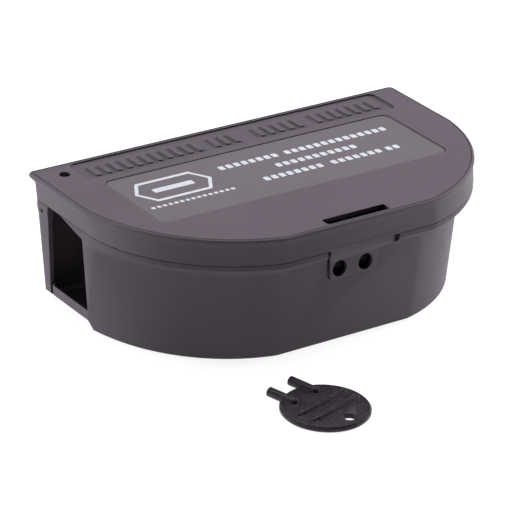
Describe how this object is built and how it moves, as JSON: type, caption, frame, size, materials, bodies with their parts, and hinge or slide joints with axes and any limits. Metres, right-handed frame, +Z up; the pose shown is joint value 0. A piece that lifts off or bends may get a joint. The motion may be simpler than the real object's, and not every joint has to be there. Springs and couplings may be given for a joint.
{
  "type": "rodent bait station",
  "caption": "Lockable wall-side rodent bait box: half-moon tub with end entrances, rear-hinged lid, sprung catches, lift-out bait tray and a two-pronged key.",
  "frame": {"origin": "centre of the flat underside of the tub, on the ground", "axes": "+X along the straight back towards the right end, +Y towards the back that stands against a wall, +Z up"},
  "size_m": [0.23, 0.2014, 0.071],
  "materials": {
    "lid_plastic": "fine satin moulded polypropylene",
    "base_plastic": "fine satin moulded polypropylene",
    "label_plastic": "smooth satin plastic with white print",
    "key_plastic": "dark moulded nylon",
    "inner_plastic": "dark satin moulded polypropylene",
    "steel": "zinc plated wire",
    "bait_wax": "waxy pressed bait block with grain"
  },
  "bodies": {
    "base": {"base_tub": "base_plastic", "hinge_pin_left": "steel", "hinge_pin_right": "steel", "baffle_left": "inner_plastic", "baffle_right": "inner_plastic"},
    "lid": {"lid_shell": "lid_plastic", "label_plate": "label_plastic"},
    "catch_left": {"catch_left": "inner_plastic"},
    "catch_right": {"catch_right": "inner_plastic"},
    "tray": {"bait_tray": "inner_plastic"},
    "rod_left": {"bait_rod_left": "steel", "bait_block_left_lower": "bait_wax", "bait_block_left_upper": "bait_wax"},
    "rod_right": {"bait_rod_right": "steel", "bait_block_right_lower": "bait_wax", "bait_block_right_upper": "bait_wax"},
    "key": {"key": "key_plastic"}
  },
  "joints": [
    {"name": "lid_hinge", "type": "hinge", "parent": "base", "child": "lid", "pos_m": [0, 0.0629, 0.0575], "axis": [-1, 0, 0], "range_deg": [0, 110]},
    {"name": "catch_left_press", "type": "hinge", "parent": "base", "child": "catch_left", "pos_m": [-0.008, -0.0524, 0.0145], "axis": [-1, 0, 0], "range_deg": [0, 7], "stiffness_Nm_per_rad": 1},
    {"name": "catch_right_press", "type": "hinge", "parent": "base", "child": "catch_right", "pos_m": [0.008, -0.0524, 0.0145], "axis": [-1, 0, 0], "range_deg": [0, 7], "stiffness_Nm_per_rad": 1},
    {"name": "tray_lift", "type": "slide", "parent": "base", "child": "tray", "axis": [0, 0, 1], "range_m": [0, 0.006]},
    {"name": "rod_left_lift", "type": "slide", "parent": "tray", "child": "rod_left", "axis": [0, 0, 1], "range_m": [0, 0.006]},
    {"name": "rod_right_lift", "type": "slide", "parent": "tray", "child": "rod_right", "axis": [0, 0, 1], "range_m": [0, 0.006]},
    {"name": "key_lift", "type": "slide", "parent": "base", "child": "key", "axis": [0, 0, 1], "range_m": [0, 0.05]}
  ]
}
